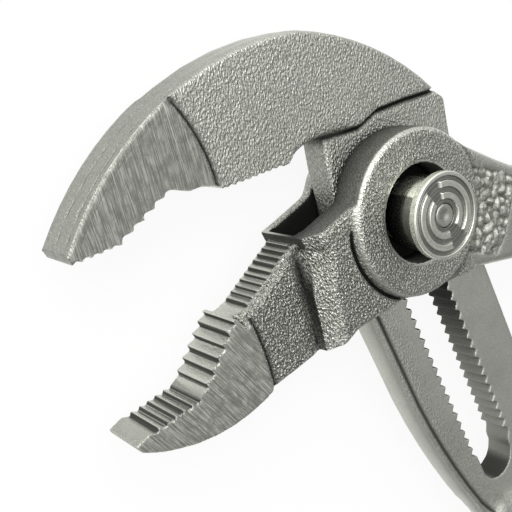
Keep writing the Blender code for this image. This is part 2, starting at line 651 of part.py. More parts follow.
def make_grip(name, handle):
    """Sleeve closed at the far end, with a finger guard at its front."""
    last = len(handle) - 1
    stations = smooth_stations(handle, GRIP_FROM, last)

    def wall(k):
        guard = GRIP_GUARD if k in GUARD_STATIONS else 0.0
        return GRIP_WALL + guard, GRIP_FACE_WALL

    grip = loft(name, stations, wall, role="node", end_push=GRIP_END_WALL + GRIP_FIT)
    bore = loft(f"{name}_bore", stations, lambda k: (GRIP_FIT, GRIP_FIT), start_push=PAST, end_push=GRIP_FIT)
    combine(grip, bore, "DIFFERENCE")
    paint(grip, f"{name}_plastic", (0.03, 0.03, 0.035), 0.55, 0.0)
    return grip


def centre_on_origin(nodes):
    """Move the whole tool so that its box stands centred over the origin."""
    bpy.context.view_layer.update()
    graph = bpy.context.evaluated_depsgraph_get()
    corners = []
    for node in nodes:
        seen = node.evaluated_get(graph)
        corners += [seen.matrix_world @ v.co for v in seen.to_mesh().vertices]
        seen.to_mesh_clear()
    low = Vector([min(c[k] for c in corners) for k in range(3)])
    high = Vector([max(c[k] for c in corners) for k in range(3)])
    PLIERS.location = (-(low.x + high.x) / 2, -(low.y + high.y) / 2, -low.z)
    bpy.context.view_layer.update()
    print("bolt axis at", tuple(round(c, 6) for c in PLIERS.matrix_world.translation))
    print("size", tuple(round(c, 6) for c in high - low))


for old in list(bpy.data.objects):
    bpy.data.objects.remove(old, do_unlink=True)

PLIERS = bpy.data.objects.new("pliers", None)
bpy.context.collection.objects.link(PLIERS)

NODES = [make_box_arm(), make_slotted_arm(), make_bolt(), make_button(), make_seat(), make_spring()]
NODES += [make_grip("upper_grip", UPPER_HANDLE), make_grip("lower_grip", LOWER_HANDLE)]
centre_on_origin(NODES)
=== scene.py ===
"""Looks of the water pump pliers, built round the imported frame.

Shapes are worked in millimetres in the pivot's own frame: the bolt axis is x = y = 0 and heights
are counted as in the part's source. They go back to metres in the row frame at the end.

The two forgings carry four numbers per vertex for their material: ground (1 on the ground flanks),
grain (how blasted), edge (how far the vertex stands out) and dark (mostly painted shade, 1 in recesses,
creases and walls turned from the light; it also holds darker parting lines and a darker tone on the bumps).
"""
import json
import math

import bmesh
import bpy
import numpy as np
from mathutils import Matrix, Vector
from mathutils.kdtree import KDTree


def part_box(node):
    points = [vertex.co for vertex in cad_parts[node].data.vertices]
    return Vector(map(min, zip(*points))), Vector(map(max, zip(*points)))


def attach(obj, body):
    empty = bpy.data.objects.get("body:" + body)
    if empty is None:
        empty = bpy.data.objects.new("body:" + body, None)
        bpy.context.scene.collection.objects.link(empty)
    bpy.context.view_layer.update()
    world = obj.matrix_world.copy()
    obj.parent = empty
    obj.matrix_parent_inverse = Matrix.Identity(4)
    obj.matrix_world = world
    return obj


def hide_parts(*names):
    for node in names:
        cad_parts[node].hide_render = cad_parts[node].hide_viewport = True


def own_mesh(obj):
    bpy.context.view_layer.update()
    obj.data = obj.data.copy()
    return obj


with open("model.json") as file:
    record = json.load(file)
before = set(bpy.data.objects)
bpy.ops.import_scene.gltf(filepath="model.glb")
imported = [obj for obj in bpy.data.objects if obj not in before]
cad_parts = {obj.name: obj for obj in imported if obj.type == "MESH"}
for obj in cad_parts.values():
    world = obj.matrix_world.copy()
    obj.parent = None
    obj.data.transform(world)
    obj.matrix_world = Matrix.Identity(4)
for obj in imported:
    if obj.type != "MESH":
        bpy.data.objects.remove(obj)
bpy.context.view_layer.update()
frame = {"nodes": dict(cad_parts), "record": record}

MM = 0.001
FAR = 1e9
TINY = 1e-9

# Heights, half thicknesses and sizes of the part, repeated from its source
MID = 8.9
JAW_HALF = 4.1
SHANK_HALF = 2.7
REAR_FACE = 1.2
SEAT_TOP = 13.9
SEAT_THICK = 0.6
PANEL_FLOOR = 16.2
CHEEK_FACE = 16.8
BUTTON_FACE = 22.6
SPINE_ROUND = 1.1
SHANK_LEFT = 12.1
SHANK_STRAIGHT = (2.5, 32.0)
THIN = 3.2    # half thickness that the shank and the cavity stay under and the jaws' faces stand over

PIVOT = next(j for j in frame["record"]["behaviour"]["joints"] if j["name"] == "jaw_pivot")["pos_m"]
ORIGIN = np.array((PIVOT[0], PIVOT[1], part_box("push_button")[1].z - BUTTON_FACE * MM))

# Fineness of the meshes
ARM_VOXEL = 0.2
BOLT_VOXEL = 0.14
GRIP_VOXEL = 0.5
ARM_TRIANGLES = 200000
GRIP_TRIANGLES = 40000
BOLT_TRIANGLES = 16000
PASSES = 12
GRIP_PASSES = 16
RELIEF_PASSES = 20
GRIP_RELIEF_PASSES = 10
PULL = 0.55      # share of the way to its neighbours that a point moves in one pass
SPARED = 0.88    # share of that pull from which crisp parts are spared

SLOT_ANGLE = math.radians(-59.2)
SLOT_DIR = np.array((math.cos(SLOT_ANGLE), math.sin(SLOT_ANGLE)))
SLOT_SIDE = np.array((-SLOT_DIR[1], SLOT_DIR[0]))
UPPER_LEFT = (-0.71, 0.71)

# Plan lines of the part, repeated from its source.
# Borders of the ground flanks: three points of an arc, and the x that the flank stays below
UPPER_PAD = ((-41.2, 16.6), (-36.6, 11.5), (-33.2, 4.4))
UPPER_PAD_END = -30
LOWER_PAD = ((-29.6, -11.4), (-26.2, -17.4), (-23.6, -25.0))
LOWER_PAD_END = -22
# Back of the upper jaw: two arcs
SPINE_REAR = ((7.4, 18.6), (-6.0, 24.4), (-20.0, 25.9))
SPINE_FRONT = ((-20.0, 25.9), (-39.5, 17.4), (-54.4, -2.2))
# Rows of teeth: pairs of ends
LOWER_ROWS = ((-20.1, -3.3), (-28.7, -12.5), (-31.2, -13.4), (-35.4, -21.6), (-36.6, -23.3), (-44.2, -26.6))
UPPER_ROWS = ((-53.3, -3.4), (-46.9, -1.5), (-46.6, -0.95), (-40.65, 4.4), (-31.6, 4.65), (-21.3, 7.55))
# Left edge of the shank, and the hollow where it turns into the handle
SHANK_NECK = ((-14.3, 12.5), (-14.3, 10.6), (-13.0, 5.4), (-11.6, 1.4))
SHANK_BELLY = ((14.0, -44.9), (23.4, -55.7))
SHANK_TAIL = (33.4, -64.2)
SHANK_RELIEF = (28.4, -55.2)
SHANK_FADE = (82.0, 92.0)    # lengths along the edge over which its rounding and groove fade out
# Throat, valley of the lower jaw and step of the upper jaw
THROAT_EDGE = ((-12.8, 1.9), (-20.1, -2.8))
VALLEY_LINE = ((-21.3, -1.0), (-13.6, -22.5))
UPPER_STEP = ((-18.4, 10.2), (-14.4, 11.5), (-7.9, 12.95), (-4.6, 15.35), (1.0, 17.05), (7.4, 18.6))
# Cavity of the box joint: directions across it at both ends of the swing, and its span along them
CAVITY_SIDES = ((0.533, 0.846), (0.876, 0.482))
CAVITY_SPAN = (-12.75, 14.4)
# Outline of the bumpy part of the handle root
BUMPS = ((11.0, 6.8), (11.5, -7.4), (19.2, -8.3), (20.9, -5.0), (22.0, -1.0), (22.4, 5.2))
# Middle lines of the grips
UPPER_LINE = ((60.0, 0.5), (100.0, 5.0), (150.0, 7.0), (193.0, 4.0))
LOWER_LINE = ((78.0, -87.4), (106.0, -107.5), (130.0, -125.5), (149.0, -141.0))


# Mesh helpers

def link(name, data):
    """Object of a mesh, light or camera, in the scene."""
    obj = bpy.data.objects.new(name, data)
    bpy.context.collection.objects.link(obj)
    return obj


def evaluated(obj):
    """Mesh of an object with its modifiers applied; the object is removed."""
    graph = bpy.context.evaluated_depsgraph_get()
    mesh = bpy.data.meshes.new_from_object(obj.evaluated_get(graph))
    bpy.data.objects.remove(obj, do_unlink=True)
    return mesh


def places(mesh):
    """Vertex places of a mesh as an array."""
    co = np.empty(len(mesh.vertices) * 3)
    mesh.vertices.foreach_get("co", co)
    return co.reshape(-1, 3)


def normals(mesh):
    """Vertex normals of a mesh as an array."""
    out = np.empty(len(mesh.vertices) * 3)
    mesh.vertices.foreach_get("normal", out)
    return out.reshape(-1, 3)


def pairs(mesh):
    """Edges of a mesh as vertex pairs."""
    out = np.empty(len(mesh.edges) * 2, np.int32)
    mesh.edges.foreach_get("vertices", out)
    return out.reshape(-1, 2)


def put(mesh, co):
    """Write vertex places back to a mesh."""
    mesh.vertices.foreach_set("co", co.ravel())
    mesh.update()


def voxel_copy(node, voxel):
    """Even quad mesh over a CAD node, in millimetres."""
    source = frame["nodes"][node].data
    source.calc_loop_triangles()
    corners = np.empty(len(source.loop_triangles) * 3, np.int32)
    source.loop_triangles.foreach_get("vertices", corners)
    mesh = bpy.data.meshes.new(node + "_mm")
    mesh.from_pydata(((places(source) - ORIGIN) / MM).tolist(), [], corners.reshape(-1, 3).tolist())
    obj = link(node + "_mm", mesh)
    step = obj.modifiers.new("even", "REMESH")
    step.mode = "VOXEL"
    step.voxel_size = voxel
    return evaluated(obj)


def relax(co, edges, passes, weight):
    """Move points towards the mean of their neighbours, by a weight of their own or one for all."""
    weight = np.broadcast_to(np.reshape(weight, (-1, 1)), (len(co), 1))
    used, local = np.unique(edges[(weight[edges, 0] > 0).any(1)], return_inverse=True)
    one, two = local.reshape(-1, 2).T
    count = len(used)
    degree = np.bincount(one, minlength=count) + np.bincount(two, minlength=count)
    share = weight[used]
    part = co[used]
    for _ in range(passes):
        sums = [np.bincount(one, part[two, k], count) + np.bincount(two, part[one, k], count)
                for k in range(3)]
        part = part + share * (np.stack(sums, 1) / degree[:, None] - part)
    out = co.copy()
    out[used] = part
    return out


def smooth_faces(mesh):
    """Shade every face smooth."""
    mesh.polygons.foreach_set("use_smooth", np.ones(len(mesh.polygons), bool))


def weigh_normals(obj):
    """Shade an object's flats flat, with its rounded edges between them smooth."""
    obj.modifiers.new("flat", "WEIGHTED_NORMAL").weight = 70


def thinned(mesh, triangles):
    """Mesh with about so many triangles, fewest where it is flat, shaded flat where it is flat."""
    have = sum(len(p.vertices) - 2 for p in mesh.polygons)
    if have <= triangles:
        return mesh
    smooth_faces(mesh)
    obj = link("thinned", mesh)
    step = obj.modifiers.new("thin", "DECIMATE")
    step.ratio = triangles / have
    weigh_normals(obj)
    return evaluated(obj)


def outward(mesh):
    """Turn faces so that their normals point out."""
    bm = bmesh.new()
    bm.from_mesh(mesh)
    bmesh.ops.recalc_face_normals(bm, faces=bm.faces)
    bm.to_mesh(mesh)
    bm.free()


def relief(mesh, passes):
    """How far each vertex stands out from its smoothed surroundings, in millimetres."""
    co = places(mesh)
    away = co - relax(co, pairs(mesh), passes, weight=0.5)
    return (away * normals(mesh)).sum(1)


def nearest_values(mesh, other, values):
    """Values of another mesh's vertices, carried to the nearest vertices of a mesh."""
    if mesh is other:
        return values
    tree = KDTree(len(other.vertices))
    for k, v in enumerate(places(other)):
        tree.insert(v, k)
    tree.balance()
    return values[[tree.find(v)[1] for v in places(mesh)]]


def thinned_with_edge(mesh, passes, triangles):
    """Thinned mesh, and the relief that the mesh had at its vertices before it was thinned."""
    edge = relief(mesh, passes)
    thin = thinned(mesh, triangles)
    return thin, nearest_values(thin, mesh, edge)


def paint(mesh, **layers):
    """Store numbers per vertex for the materials, by name."""
    for name, values in layers.items():
        layer = mesh.attributes.new(name, "FLOAT", "POINT")
        layer.data.foreach_set("value", np.asarray(values, np.float32))


def finish_piece(name, mesh, body, node, material):
    """Piece from a mesh in millimetres, riding on its body in place of its node.

    It goes to metres, and is kept inside its node's box.
    """
    low, high = (np.array(corner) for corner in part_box(node))
    put(mesh, np.clip(places(mesh) * MM + ORIGIN, low, high))
    smooth_faces(mesh)
    mesh.materials.clear()
    mesh.materials.append(material)
    obj = link(name, mesh)
    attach(obj, body)
    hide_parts(node)
    return obj


# Plan geometry

def arc(start, through, end, steps):
    """Points on the circle through three points."""
    (ax, ay), (bx, by), (cx, cy) = start, through, end
    double = 2 * (ax * (by - cy) + bx * (cy - ay) + cx * (ay - by))
    aa, bb, cc = ax * ax + ay * ay, bx * bx + by * by, cx * cx + cy * cy
    ux = (aa * (by - cy) + bb * (cy - ay) + cc * (ay - by)) / double
    uy = (aa * (cx - bx) + bb * (ax - cx) + cc * (bx - ax)) / double
    radius = math.hypot(ax - ux, ay - uy)
    first = math.atan2(ay - uy, ax - ux)
    turn = (math.atan2(cy - uy, cx - ux) - first) % math.tau
    middle = (math.atan2(by - uy, bx - ux) - first) % math.tau
    if middle > turn:
        turn -= math.tau
    angles = [first + turn * k / steps for k in range(steps + 1)]
    return [(ux + radius * math.cos(a), uy + radius * math.sin(a)) for a in angles]


def smooth_line(points, steps):
    """Points of a smooth curve through points, so many to each span."""
    points = [np.array(p) for p in points]
    out = []
    for k in range(len(points) - 1):
        a, b = points[max(k - 1, 0)], points[k]
        c, d = points[k + 1], points[min(k + 2, len(points) - 1)]
        for t in np.linspace(0, 1, steps, endpoint=False):
            bend, twist = 2 * a - 5 * b + 4 * c - d, 3 * b - a - 3 * c + d
            out.append(tuple((2 * b + (c - a) * t + bend * t * t + twist * t ** 3) / 2))
    return [*out, tuple(points[-1])]


def line_frame(plan, line):
    """Distance in plan to a polyline, positive on its left, length along it, and its left normal."""
    best = np.full(len(plan), FAR)
    sign = np.ones(len(plan))
    along = np.zeros(len(plan))
    left = np.zeros((len(plan), 2))
    run = 0.0
    for a, b in zip(line, line[1:]):
        a, b = np.array(a), np.array(b)
        step = b - a
        length = math.hypot(*step)
        t = np.clip((plan - a) @ step / length ** 2, 0, 1)
        gap = plan - a - t[:, None] * step
        far = np.hypot(gap[:, 0], gap[:, 1])
        near = far < best
        side = step[0] * (plan[:, 1] - a[1]) - step[1] * (plan[:, 0] - a[0])
        sign = np.where(near, np.sign(side), sign)
        along = np.where(near, run + t * length, along)
        left[near] = (-step[1] / length, step[0] / length)
        best = np.minimum(best, far)
        run += length
    return best * sign, along, left


def line_distance(plan, line):
    """Signed distance to a polyline and the length along it."""
    return line_frame(plan, line)[:2]


def inside_convex(plan, corners):
    """Distance in from the nearest side of a convex outline that runs anticlockwise."""
    out = np.full(len(plan), FAR)
    for a, b in zip(corners, (*corners[1:], corners[0])):
        step = np.subtract(b, a) / math.dist(a, b)
        out = np.minimum(out, step[0] * (plan[:, 1] - a[1]) - step[1] * (plan[:, 0] - a[0]))
    return out


def ramp(value, low, high):
    """Smooth step from 0 at low to 1 at high."""
    t = np.clip((value - low) / (high - low), 0, 1)
    return t * t * (3 - 2 * t)


def bell(value, width):
    """1 at zero, falling off to both sides over a width."""
    return np.exp(-(value / width) ** 2)


def lumps(plan, pitch, seed):
    """Rounded bumps of mixed size on a jittered grid, from 0 to 1."""
    rng = np.random.default_rng(seed)
    low, high = plan.min(0) - pitch, plan.max(0) + pitch
    grid = np.mgrid[low[0]:high[0]:pitch, low[1]:high[1]:pitch].reshape(2, -1).T
    grid = grid + rng.uniform(-0.42, 0.42, grid.shape) * pitch
    size = rng.uniform(0.4, 0.75, len(grid)) * pitch
    tall = rng.uniform(0.3, 1.0, len(grid))
    turn = rng.uniform(0, math.pi, len(grid))
    out = np.zeros(len(plan))
    for centre, radius, height, angle in zip(grid, size, tall, turn):
        away = plan - centre
        long = away @ (math.cos(angle), math.sin(angle))
        wide = away @ (-math.sin(angle), math.cos(angle))
        far = ((long / 1.25) ** 2 + (wide / 0.8) ** 2) / radius ** 2
        out = np.maximum(out, height * np.clip(1 - far, 0, 1) ** 0.6)
    return out


# Materials

class Nodes:
    """Small helper that adds shader nodes and joins them."""

    def __init__(self, name):
        self.material = bpy.data.materials.new(name)
        self.material.use_nodes = True
        self.tree = self.material.node_tree
        self.shader = self.tree.nodes["Principled BSDF"]

    def add(self, kind, settings=None, **inputs):
        """Node of a kind; inputs are named, with _ for a space, or numbered as i0, i1 and so on."""
        node = self.tree.nodes.new("ShaderNode" + kind)
        for key, value in (settings or {}).items():
            setattr(node, key, value)
        for key, value in inputs.items():
            self.join(value, node.inputs[int(key[1:]) if key[1:].isdigit() else key.replace("_", " ")])
        return node

    def join(self, value, socket):
        """Feed a socket with another socket or with a plain value."""
        if isinstance(value, bpy.types.NodeSocket):
            self.tree.links.new(value, socket)
        else:
            socket.default_value = value

    def set(self, name, value):
        """Feed an input of the main shader."""
        self.join(value, self.shader.inputs[name])

    def place(self):
        """Place on the piece, in metres."""
        return self.add("TexCoord").outputs["Object"]

    def value(self, name):
        """Number stored per vertex."""
        return self.add("Attribute", {"attribute_name": name}).outputs["Fac"]

    def math(self, operation, one, two):
        return self.add("Math", {"operation": operation}, i0=one, i1=two).outputs[0]

    def times(self, one, two):
        return self.math("MULTIPLY", one, two)

    def minus(self, one, two):
        return self.math("SUBTRACT", one, two)

    def vector(self, operation, one, two):
        return self.add("VectorMath", {"operation": operation}, i0=one, i1=two).outputs[0]

    def mix(self, factor, one, two):
        """Number between two others."""
        return self.add("Mix", {"data_type": "FLOAT"}, i0=factor, i2=one, i3=two).outputs[0]

    def blend(self, factor, one, two):
        """Colour between two others."""
        return self.add("Mix", {"data_type": "RGBA"}, i0=factor, i6=one, i7=two).outputs[2]

    def ramp(self, value, low, high):
        """Smooth step from 0 at low to 1 at high."""
        node = self.add("MapRange", {"interpolation_type": "SMOOTHSTEP"}, Value=value)
        node.inputs["From Min"].default_value = low
        node.inputs["From Max"].default_value = high
        return node.outputs[0]

    def noise(self, vector, scale, detail, roughness):
        node = self.add("TexNoise", Vector=vector, Scale=scale, Detail=detail, Roughness=roughness)
        return node.outputs["Fac"]

    def cells(self, vector, scale, smoothness):
        """Distance to the nearest of scattered points, with soft borders."""
        kind = {"feature": "SMOOTH_F1"}
        node = self.add("TexVoronoi", kind, Vector=vector, Scale=scale, Smoothness=smoothness)
        return node.outputs["Distance"]

    def stretch(self, vector, direction, along, across):
        """Coordinates turned so that a plan direction is X, then scaled along and across it."""
        turn = -math.atan2(direction[1], direction[0])
        turned = self.add("VectorRotate", {"rotation_type": "Z_AXIS"}, Vector=vector, Angle=turn)
        return self.vector("MULTIPLY", turned.outputs[0], (along, across, across))

    def bump(self, height, strength, depth, under=None):
        """Normal that shows a height of a depth in millimetres, on top of another normal."""
        node = self.add("Bump", Strength=strength, Distance=depth * MM, Height=height)
        if under is not None:
            self.join(under, node.inputs["Normal"])
        return node.outputs[0]


def grey(level):
    """Steel colour of a level, a little warm."""
    return (level, level * 1.012, level * 0.915, 1)


def forged_steel(name, scratches, tone, pad_tone, depth):
    """Blasted forging with ground flanks, scratched along a plan direction, with a grain depth in mm."""
    n = Nodes(name)
    here = n.place()
    grain, ground, edge, dark = n.value("grain"), n.value("ground"), n.value("edge"), n.value("dark")
    strokes = n.stretch(here, scratches, along=0.68, across=1.12)
    peel = n.noise(strokes, scale=3600.0, detail=1.5, roughness=0.55)
    pits = n.cells(strokes, scale=2900.0, smoothness=0.5)
    fine = n.noise(here, scale=6500.0, detail=2.0, roughness=0.6)
    broad = n.noise(here, scale=110.0, detail=3.0, roughness=0.6)
    mottle = n.noise(here, scale=700.0, detail=3.0, roughness=0.65)
    drawn = n.stretch(here, scratches, along=300.0, across=8000.0)
    scratch = n.noise(drawn, scale=1.0, detail=3.0, roughness=0.65)
    skew = (scratches[0] + 0.07, scratches[1] - 0.05)
    drawn = n.stretch(here, skew, along=110.0, across=3800.0)
    deep = n.ramp(n.noise(drawn, scale=1.0, detail=1.0, roughness=0.5), 0.64, 0.76)

    wear = n.ramp(edge, 0.03, 0.2)
    # Painted shade: hollows in the stored relief and the dark number turn the colour near black
    crease = n.math("MAXIMUM", n.ramp(edge, -0.015, -0.14), dark)
    speck = n.ramp(n.minus(peel, n.times(pits, 0.35)), 0.25, 0.53)
    blasted = n.blend(speck, grey(0.26 * tone), grey(0.66 * tone))
    plain = n.blend(n.ramp(fine, 0.3, 0.7), grey(0.45 * tone), grey(0.62 * tone))
    colour = n.blend(grain, plain, blasted)
    brushed = n.blend(n.ramp(scratch, 0.35, 0.7), grey(0.26 * pad_tone), grey(0.82 * pad_tone))
    brushed = n.blend(n.times(n.ramp(mottle, 0.42, 0.66), 0.6), brushed, grey(0.26 * pad_tone))
    brushed = n.blend(n.times(deep, 0.75), brushed, grey(0.9))
    colour = n.blend(ground, colour, brushed)
    colour = n.blend(n.times(n.ramp(broad, 0.4, 0.75), 0.25), colour, grey(0.38))
    colour = n.blend(n.times(wear, 0.5), colour, grey(0.85))
    colour = n.blend(n.times(crease, 0.97), colour, grey(0.012))
    n.set("Base Color", colour)
    n.set("Metallic", 1.0)
    rough = n.mix(grain, n.mix(fine, 0.36, 0.5), n.mix(peel, 0.3, 0.44))
    rough = n.mix(ground, rough, n.mix(mottle, 0.34, 0.5))
    n.set("Roughness", n.mix(crease, rough, 0.8))

    lump = n.minus(peel, n.times(pits, 0.5))
    peeled = n.bump(n.times(lump, grain), strength=1.0, depth=depth)
    unground = n.times(fine, n.minus(1.0, ground))
    finely = n.bump(unground, strength=0.5, depth=0.02, under=peeled)
    lines = n.times(n.minus(scratch, n.times(deep, 0.8)), ground)
    n.set("Normal", n.bump(lines, strength=0.6, depth=0.03, under=finely))
    return n.material


def turned_steel(name, dark, light, rough, line_scale):
    """Steel turned about the bolt axis: fine rings in colour, gloss and relief."""
    n = Nodes(name)
    here = n.place()
    parts = n.add("SeparateXYZ", Vector=n.vector("SUBTRACT", here, tuple(ORIGIN)))
    round_axis = n.add("CombineXYZ", X=parts.outputs[0], Y=parts.outputs[1])
    radius = n.add("VectorMath", {"operation": "LENGTH"}, i0=round_axis.outputs[0]).outputs["Value"]
    level = n.add("CombineXYZ", X=radius, Y=parts.outputs[2])
    rings = n.noise(level.outputs[0], line_scale, detail=2.0, roughness=0.7)
    spots = n.noise(here, scale=1900.0, detail=3.0, roughness=0.6)
    tone = n.math("ADD", n.times(rings, 0.7), n.times(spots, 0.3))
    colour = n.blend(n.ramp(tone, 0.3, 0.7), dark, light)
    # Painted shade: hollows in the stored relief turn the colour near black
    colour = n.blend(n.times(n.ramp(n.value("edge"), -0.01, -0.1), 0.85), colour, grey(0.05))
    n.set("Base Color", colour)
    n.set("Metallic", 1.0)
    n.set("Roughness", n.mix(spots, rough - 0.06, rough + 0.1))
    n.set("Normal", n.bump(tone, strength=0.35, depth=0.02))
    return n.material


def spring_steel(name):
    """Drawn wire with faint marks and dark oil in places."""
    n = Nodes(name)
    here = n.place()
    marks = n.noise(here, scale=2600.0, detail=3.0, roughness=0.6)
    oil = n.noise(here, scale=420.0, detail=2.0, roughness=0.5)
    colour = n.blend(n.ramp(marks, 0.3, 0.7), (0.2, 0.2, 0.205, 1), (0.34, 0.34, 0.345, 1))
    colour = n.blend(n.times(n.ramp(oil, 0.5, 0.7), 0.5), colour, (0.09, 0.085, 0.075, 1))
    n.set("Base Color", colour)
    n.set("Metallic", 1.0)
    n.set("Roughness", n.mix(marks, 0.26, 0.42))
    n.set("Normal", n.bump(marks, strength=0.3, depth=0.02))
    return n.material


def grip_plastic(name):
    """Dark dipped plastic: fine leather grain, paler where rubbed, with painted shade in its hollows."""
    n = Nodes(name)
    here = n.place()
    cells = n.cells(here, scale=1100.0, smoothness=0.4)
    fine = n.noise(here, scale=3200.0, detail=2.0, roughness=0.6)
    broad = n.noise(here, scale=70.0, detail=3.0, roughness=0.6)
    edge = n.value("edge")
    rubbed, sunk = n.ramp(edge, 0.03, 0.3), n.ramp(edge, -0.03, -0.3)
    colour = n.blend(n.ramp(broad, 0.3, 0.75), (0.02, 0.02, 0.021, 1), (0.032, 0.032, 0.034, 1))
    colour = n.blend(n.times(rubbed, 0.6), colour, (0.07, 0.07, 0.073, 1))
    # Painted shade: hollows in the stored relief turn the colour darker
    colour = n.blend(n.times(sunk, 0.7), colour, (0.008, 0.008, 0.008, 1))
    n.set("Base Color", colour)
    rough = n.mix(n.ramp(fine, 0.25, 0.75), 0.44, 0.6)
    n.set("Roughness", n.minus(rough, n.times(rubbed, 0.1)))
    height = n.math("ADD", cells, n.times(fine, 0.3))
    n.set("Normal", n.bump(height, strength=0.5, depth=0.06))
    return n.material


# Arms: lines, parts of the surface and small forms

FLAT = 0.8     # least upward share of a normal on a flat face
STEEP = 0.5    # most upward share of a normal on a wall
# Radii of the ring boss and of the bores' walls, and the height of the front bore's lip
BOSS_RIM = 12.7
BOSS_FOOT = 13.3
FRONT_BORE = 7.7
REAR_BORE = 6.0
FRONT_LIP = 17.7
# Depths and heights of the small forms
PAD_GROOVE = 0.2
SHANK_GROOVE = 0.3
STEP_GROOVE = 0.3
SEAM_GROOVE = 0.24
BOSS_CREASE = 0.7
BUMP_HEIGHT = 0.75
# Lines in plan
LOWER_PAD_EDGE = arc(*LOWER_PAD, steps=12)
UPPER_PAD_EDGE = arc(*UPPER_PAD, steps=12)
SPINE = arc(*SPINE_REAR, steps=12) + arc(*SPINE_FRONT, steps=16)[1:]
SHANK_START = [tuple(SLOT_DIR * along - SLOT_SIDE * SHANK_LEFT) for along in SHANK_STRAIGHT]
SHANK_EDGE = [*SHANK_NECK, *SHANK_START, *arc(SHANK_START[1], *SHANK_BELLY, steps=5)[1:], SHANK_TAIL]


def from_axis(co):
    """Distance from the bolt axis."""
    return np.hypot(co[:, 0], co[:, 1])


def from_middle(co):
    """Distance from the middle plane of the arms."""
    return np.abs(co[:, 2] - MID)


def sink(co, depth):
    """Move points towards the middle plane, in place."""
    co[:, 2] -= np.sign(co[:, 2] - MID) * depth


def capped(edge, where, most):
    """Edge values, with those in a place held to a limit so that they don't look worn."""
    return np.where(where, np.minimum(edge, most), edge)


def near_rows(plan, rows, reach):
    """1 close to any of the toothed rows given as pairs of ends, falling to 0."""
    close = np.full(len(plan), FAR)
    for a, b in zip(rows[::2], rows[1::2]):
        close = np.minimum(close, np.abs(line_distance(plan, (a, b))[0]))
    return 1 - ramp(close, reach * 0.7, reach)


def shaded_flanks(plan, face, rows):
    """1 on the short flanks of the teeth, which face along their row and away from the light."""
    out = np.zeros(len(plan))
    for a, b in zip(rows[::2], rows[1::2]):
        along = (np.array(b) - a) / math.hypot(b[0] - a[0], b[1] - a[1])
        close = np.abs(line_distance(plan, (a, b))[0]) < 1.5
        shaded = ramp(face[:, :2] @ along, 0.15, 0.6)
        out = np.maximum(out, close * shaded * (np.abs(face[:, 2]) < STEEP))
    return out


def on_pad(plan, pad_edge, end, soft):
    """1 on a ground flank, with a soft border."""
    side, _ = line_distance(plan, pad_edge)
    return ramp(-side, -soft, soft) * (plan[:, 0] < end)


def pad_border(plan, pad_edge, end):
    """Painted shade on the blasted side of a ground flank's border, in the groove there."""
    side, _ = line_distance(plan, pad_edge)
    return 0.88 * bell(side - 0.45, 0.55) * (plan[:, 0] < end)


def pad_groove(co, pad_edge, end):
    """Depth of the groove on the blasted side of a ground flank's border, on both faces."""
    side, _ = line_distance(co[:, :2], pad_edge)
    return PAD_GROOVE * bell(side - 0.5, 0.4) * (co[:, 0] < end) * (from_middle(co) > THIN)


def boss_foot(co):
    """1 on the foot of the ring boss, and 1 on the side of it that faces the lower jaw."""
    turn = np.degrees(np.arctan2(co[:, 1], co[:, 0]))
    return bell(from_axis(co) - BOSS_FOOT, 0.45), ramp(turn, -178, -160) * (1 - ramp(turn, -104, -92))


def boss_wall(co, face):
    """1 on the walls of the boss and cheek that face up and left."""
    return ramp(face[:, :2] @ UPPER_LEFT, 0.35, 0.75) * (co[:, 1] > -4.5)


def low_wall(co, face):
    """1 on the lowest strip of the boss's upper left wall, just above the slotted arm."""
    strip = ramp(12.9 - co[:, 2], 0.0, 0.3) * (co[:, 2] > 11.3)
    return boss_wall(co, face) * (np.abs(face[:, 2]) < 0.6) * strip * (co[:, 0] > -12.9)


def on_bumps(co):
    """1 on the bumpy part of the handle root's front, beside the boss."""
    inside = ramp(inside_convex(co[:, :2], BUMPS), 0.0, 0.5)
    return inside * ramp(from_axis(co), 13.1, 13.5) * (co[:, 2] > PANEL_FLOOR - 0.5)


def in_cavity(co):
    """1 on the walls of the box joint's cavity."""
    out = np.zeros(len(co), bool)
    for side in CAVITY_SIDES:
        across = co[:, :2] @ side
        out |= (across > CAVITY_SPAN[0]) & (across < CAVITY_SPAN[1])
    return (out & (from_middle(co) < THIN) & (co[:, 0] < 60)).astype(float)


def by_slot(along, across):
    """True at the toothed slot, by the places along it and across it."""
    return (across > -7.0) & (across < 6.2) & (along > -8) & (along < 60)


def step_foot(co):
    """1 along the foot of the step between the upper jaw and the shank, on both faces."""
    side, _ = line_distance(co[:, :2], UPPER_STEP)
    up = from_middle(co)
    return bell(side + 0.55, 0.5) * (up > 1.9) * (up < 3.3)


def edge_groove(co):
    """1 along the groove beside the rounded shank edge, on both faces."""
    side, run = line_distance(co[:, :2], SHANK_EDGE)
    up = from_middle(co)
    ends = ramp(run, 10.0, 16.0) * (1 - ramp(run, *SHANK_FADE))
    return bell(side - 1.3, 0.45) * (up > 1.7) * (up < THIN) * ends


def spine_lines(co):
    """1 at the heights of the two parting lines on the back of the upper jaw."""
    return bell(co[:, 2] - MID + 0.6, 0.3) + bell(co[:, 2] - MID - 2.4, 0.3)


def uneven(run, least):
    """Strength of the parting lines along the spine, from least to 1."""
    knots, length, seed = 60, 90, 3
    strength = np.random.default_rng(seed).uniform(least, 1.0, knots)
    return np.interp(run, np.linspace(0, length, knots), strength)


def round_edge(co, line, front, rear, half_thick, ends):
    """Round the long edges of a plate, by a radius each, along the plan line that it lies left of."""
    side, run, left = line_frame(co[:, :2], line)
    radius = np.where(co[:, 2] > MID, front, rear)
    ends = ramp(run, *ends[0]) * (1 - ramp(run, *ends[1]))
    up = from_middle(co)
    u = np.clip(radius - side, 0, radius)
    v = np.clip(up - half_thick + radius, 0, radius)
    shrink = np.maximum(u, v) / np.maximum(np.hypot(u, v), TINY)
    near = (side < radius) & (up > half_thick - radius) & (side > -0.6) & (up < half_thick + 0.6)
    inward = np.where(near, u * (1 - shrink), 0.0) * ends
    lower = np.where(near, v * (1 - shrink), 0.0) * ends
    out = co.copy()
    out[:, :2] += left * inward[:, None]
    sink(out, lower)
    return out


